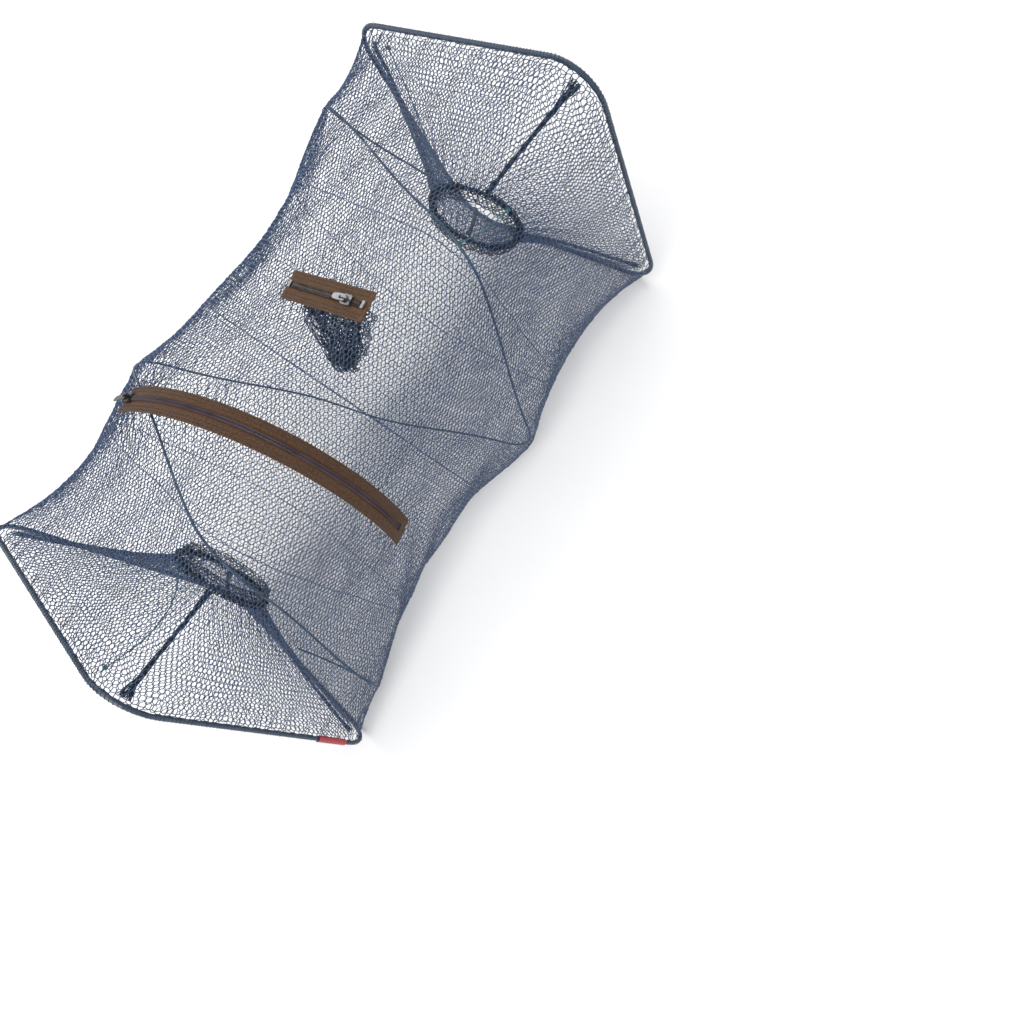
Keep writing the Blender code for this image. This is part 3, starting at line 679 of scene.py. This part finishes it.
def make_mouth(name, end, gathered, ring_material):
    """The ring bound with net, and the dense collar that runs in from it."""
    centre = mouth_centre(end)
    strands = Strands(sides=5)
    facing, _near = mouth_facing(end)
    loop = ring_loop(end, RING_RADIUS, 0.0, 1800)
    out = unit(loop - centre)
    # The binding and collar are drawn in the darker navy yarn passed in. Its colour is painted shade for the
    # packed net.
    for start, wraps, reach in ((0.0, 92, 0.0019), (2.0, 71, 0.0025)):
        turn = start + np.linspace(0, math.tau * wraps, len(loop), endpoint=False)
        uneven = reach * (1 + 0.18 * np.sin(turn / 5.1))
        wound = loop + (facing * np.cos(turn)[:, None] + out * np.sin(turn)[:, None]) * uneven[:, None]
        strands.add(wound, 0.00042, closed=True)
    binding = strands.build(f"{name}_mouth_binding", gathered)
    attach(binding, f"{name}_mouth")

    collar = Strands()
    share = np.linspace(0, 1, 8)[:, None]
    for layer, radius_out in enumerate((0.0379, 0.0366)):
        columns = 2 * (66 - 6 * layer)
        turn = 0.05 * layer + np.linspace(0, math.tau, columns, endpoint=False)
        pleat = 0.0007 * np.sin(np.arange(columns) * math.tau / 6 + layer)
        rings = mouth_point(end, turn, radius_out - 0.0020 * share + pleat, -0.0012 - 0.0080 * share)
        knit(rings, 4, collar, 0.00035, jitter=0.0003)
    collar = collar.build(f"{name}_mouth_collar_knit", gathered)
    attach(collar, f"{name}_mouth")
    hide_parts(f"{name}_mouth_collar")
    paint(f"{name}_mouth_ring", ring_material)


def make_twines(material):
    """Two-ply twine along each of the model's twines, with a knot at its ends."""
    for node, body, anchor, keep, end, lay in (
        ("front_mouth_twine", "front_end", HALF, FUNNEL_KEEP, 1, "hanging"),
        ("front_mouth_tether", "front_end", HALF, FOLD_KEEP, 1, "taut"),
        ("rear_mouth_twine", "rear_end", -HALF, FUNNEL_KEEP, -1, "hanging"),
    ):
        low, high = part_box(node)
        start, stop = (high[0], low[0]) if end > 0 else (low[0], high[0])
        path = smooth_path(node_path(node, 9, start, stop), 160)
        tangent = unit(np.gradient(path, axis=0))
        first = unit(np.cross(tangent, X_AXIS))
        second = np.cross(tangent, first)
        strands = Strands(sides=6)
        for ply in range(2):
            turn = math.pi * ply + np.linspace(0, math.tau * 40, len(path))
            offset = first * np.cos(turn)[:, None] + second * np.sin(turn)[:, None]
            strands.add(path + offset * 0.00026, 0.00034)
        ties = Strands(sides=6)
        for centre in (path[3], path[-4]):
            turn = np.linspace(0, math.tau * 3, 60)
            ball = np.stack([np.cos(turn), np.sin(turn), np.sin(turn * 1.67) * 0.8], -1)
            ties.add(centre + ball * 0.0011, 0.00042)
        twine = strands.build(f"{node}_ply", material)
        knots = ties.build(f"{node}_knots", material)
        for piece in (twine, knots):
            squash_ride(piece, body)
        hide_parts(node)


def make_stitching(name, path, ends, spacing, material, body):
    """Two rows of short stitches along each tape, through the tape's outer half."""
    strands = Strands(sides=5)
    where = np.arange(ends[0], ends[1], spacing)
    share = np.linspace(0.05, 0.72, 5)
    for side in (-1, 1):
        for row_at in (0.0088, 0.0062):
            points, _along, out, across = path(where[:, None] + share * spacing)
            arch = 0.00042 * np.sin(np.linspace(0, math.pi, 5))
            stitches = points + across * side * row_at + out * arch[:, None]
            strands.add(stitches, 0.00021, normals=out)
    thread = strands.build(f"{name}_stitching", material)
    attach(thread, body)


def make_coil_teeth(material):
    """The catch zip's nylon coil: a flattened helix on each tape's edge."""
    turns_each = 205
    steps = 12 * turns_each
    travel = np.linspace(*CATCH_CHAIN, steps)
    turn = np.linspace(0, math.tau * turns_each, steps)
    points, _along, out, across = catch_frame(travel)
    for side, name, phase in ((1, "front", 0.0), (-1, "rear", math.pi)):
        strands = Strands(sides=5)
        sideways = side * 0.00105 + 0.00108 * np.cos(turn + phase)
        height = 0.00095 + 0.00058 * np.sin(turn + phase)
        line = points + across * sideways[:, None] + out * height[:, None]
        strands.add(line, 0.00027)
        cord = points + across * side * 0.0011 + out * 0.00095
        strands.add(cord[::12], 0.00042, normals=out[::12])
        coil = strands.build(f"catch_zip_coil_{name}_helix", material)
        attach(coil, "catch_zip")
        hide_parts(f"catch_zip_coil_{name}")


def make_metal_teeth(material):
    """The bait zip's teeth: small clips on each tape's edge, meeting in the middle."""
    pitch = 0.00155
    ends = (BAIT_MARGIN, BAIT_LENGTH - BAIT_MARGIN)
    foot_corners = [(-0.00045, 0.0023), (0.00045, 0.0023), (0.00045, -0.0002), (-0.00045, -0.0002)]
    crown_corners = [
        (-0.00038, 0.0021, 0.0014), (0.00038, 0.0021, 0.0014),
        (0.00030, -0.0005, 0.0016), (-0.00030, -0.0005, 0.0016),
    ]
    tooth_corners = [(*corner, 0.0004) for corner in foot_corners] + crown_corners
    for side, name, shift in ((1, "front", 0.0), (-1, "rear", 0.5)):
        where = np.arange(ends[0] + pitch * (0.6 + shift), ends[1] - pitch * 0.3, pitch)
        points, along, out, across = bait_frame(where)
        corners = []
        for run, aside, rise in tooth_corners:
            corners.append(points + along * run + across * side * aside + out * rise)
        blocks = np.stack(corners, 1)
        faces = np.array([(0, 1, 2, 3), (7, 6, 5, 4), (0, 4, 5, 1), (1, 5, 6, 2), (2, 6, 7, 3), (3, 7, 4, 0)])
        quads = (np.arange(len(where))[:, None, None] * 8 + faces).reshape(-1, 4)
        teeth = object_from(f"bait_zip_teeth_{name}", blocks, quads, material, smooth=False)
        bevel = teeth.modifiers.new("edge", "BEVEL")
        bevel.width = 0.00012
        bevel.segments = 2
        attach(teeth, "bait_zip")
        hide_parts(f"bait_zip_coil_{name}")


def make_pouch(material):
    """The bait pouch: knitted net drawn in from the zip and gathered at its foot."""
    low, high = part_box("bait_pouch")
    points = np.array([v.co for v in NODES["bait_pouch"].data.vertices])
    levels = np.linspace(high[2] - 0.0015, low[2] + 0.0015, POUCH_LEVELS)
    centres, widths = [], []
    along, across = bait_frame(np.array(0.0))[1], bait_frame(np.array(0.0))[3]
    for level in levels:
        near = points[np.abs(points[:, 2] - level) < 0.009]
        middle = near.mean(0)
        middle[2] = level
        centres.append(middle)
        run = (near - middle) @ along
        widths.append(max(0.008, (run.max() - run.min()) / 2))
    path = smooth_path(np.array(centres), POUCH_ROWS)
    half_long = np.interp(np.linspace(0, POUCH_LEVELS - 1, POUCH_ROWS), np.arange(POUCH_LEVELS), widths)
    columns = 2 * 40
    turn = np.linspace(0, math.tau, columns, endpoint=False)
    rings = []
    for step, (middle, reach) in enumerate(zip(path, half_long)):
        fold = 1 + 0.15 * np.sin(turn * 5 + step * 0.16) + 0.08 * np.sin(turn * 11 - step * 0.3)
        wide = 0.0088 - 0.002 * step / (POUCH_ROWS - 1)
        ring = middle + along * (np.cos(turn) * reach * fold)[:, None]
        ring = ring + across * (np.sin(turn) * wide * fold)[:, None]
        rings.append(ring)
    strands = Strands()
    outer = np.stack(rings)
    core = outer.mean(1, keepdims=True)
    crumple = 0.62 + 0.20 * np.sin(turn * 5 + np.arange(len(rings))[:, None] * 0.55)
    knit(outer, 15, strands, 0.00033, jitter=0.0004)
    knit(core + (outer - core) * crumple[..., None], 13, strands, 0.00033, jitter=0.0006)
    foot = rings[-1]
    droop = np.array([0, 0, -0.002])
    for start in foot[::2]:
        target = path[-1] + droop + RANDOM.normal(0, 0.0008, 3)
        strands.add(np.stack([start, (start + target) / 2 + droop, target]), 0.0003)
    pouch = strands.build("bait_pouch_knit", material)
    squash_ride(pouch, "bait_zip")
    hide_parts("bait_pouch")


def paint(node, material):
    for place in range(len(NODES[node].data.materials)):
        NODES[node].data.materials[place] = material
    if not NODES[node].data.materials:
        NODES[node].data.materials.append(material)


def make_floor():
    bpy.ops.mesh.primitive_plane_add(size=12.0, location=(0, 0, 0))
    floor = bpy.context.object
    floor.name = "floor"
    made, tree, shader = shader_of("floor_paint", 0.9)
    varied(tree, shader, (0.86, 0.86, 0.87), (0.90, 0.90, 0.90), 3.0)
    floor.data.materials.append(made)


def main():
    make_camera()
    make_lights()
    make_floor()
    net = yarn_material("navy_yarn", (0.005, 0.027, 0.088), (0.019, 0.072, 0.190))
    # A darker copy of the navy net yarn. Its colour is painted shade for the bunched layers of net in the
    # funnel seams and the bait pouch. The zips' stitching is drawn in it too.
    gathered = yarn_material("shaded_gathered_yarn", (0.002, 0.011, 0.026), (0.009, 0.035, 0.068), sheen=0.1)
    # A still darker copy of the navy net yarn. Its colour is painted shade for the tightly packed net of the
    # mouth bindings and collars.
    dense = yarn_material("shaded_dense_yarn", (0.002, 0.006, 0.013), (0.006, 0.020, 0.036), sheen=0.05)
    thread = yarn_material("lashing_thread", (0.006, 0.020, 0.050), (0.022, 0.055, 0.115))
    teal = yarn_material("teal_yarn", (0.010, 0.170, 0.170), (0.030, 0.300, 0.280))
    wire = coated_material("coated_wire", (0.006, 0.020, 0.045), (0.016, 0.044, 0.085))
    dark_wire = coated_material("spring_coating", (0.010, 0.034, 0.070), (0.026, 0.070, 0.125))
    red = coated_material("red_sleeve", (0.300, 0.006, 0.014), (0.420, 0.014, 0.024), 0.35)
    catch_tape = tape_material(
        "catch_tape_weave", (0.074, 0.037, 0.018), (0.150, 0.080, 0.042), (0.0, -0.6, -0.8)
    )
    bait_tape = tape_material(
        "bait_tape_weave", (0.078, 0.037, 0.016), (0.155, 0.080, 0.038), BAIT_END - BAIT_START
    )
    nylon = coated_material("nylon_coil", (0.040, 0.022, 0.030), (0.095, 0.060, 0.078), 0.35)
    dark_metal = metal_material("dark_cast_metal", (0.045, 0.042, 0.040), (0.115, 0.105, 0.095), 0.38)
    bright_metal = metal_material("bright_plated_metal", (0.20, 0.20, 0.21), (0.42, 0.42, 0.43), 0.34)
    tooth_metal = metal_material("tooth_metal", (0.055, 0.046, 0.042), (0.150, 0.128, 0.118), 0.36)

    for name, end in (("rear", -1), ("front", 1)):
        paint(f"{name}_frame", wire)
        make_lashing(f"{name}_frame_lashing", f"{name}_end", end * HALF, thread)
        make_funnel(name, end, net)
        make_seams(name, end, gathered)
        make_mouth(name, end, dense, dark_wire)
    paint("rear_frame_sleeve", red)
    make_spring(dark_wire)
    make_twines(teal)
    for piece in make_body_net(net):
        squash_ride(piece, "rear_end")
        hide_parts("body_net")
    for zip_name, tape, metal in (
        ("catch_zip", catch_tape, dark_metal),
        ("bait_zip", bait_tape, bright_metal),
    ):
        for side in ("front", "rear"):
            paint(f"{zip_name}_tape_{side}", tape)
        for part in ("start_stop", "end_stop", "slider", "pull"):
            paint(f"{zip_name}_{part}", metal)
    make_coil_teeth(nylon)
    make_metal_teeth(tooth_metal)
    bait_ends = (0.002, BAIT_LENGTH - 0.003)
    catch_ends = (CATCH_TAPE[0] + 0.01, CATCH_TAPE[1] - 0.02)
    make_stitching("catch_zip", catch_frame, catch_ends, 0.0034 / CATCH_RADIUS, gathered, "catch_zip")
    make_stitching("bait_zip", bait_frame, bait_ends, 0.0032, gathered, "bait_zip")
    make_pouch(gathered)


main()
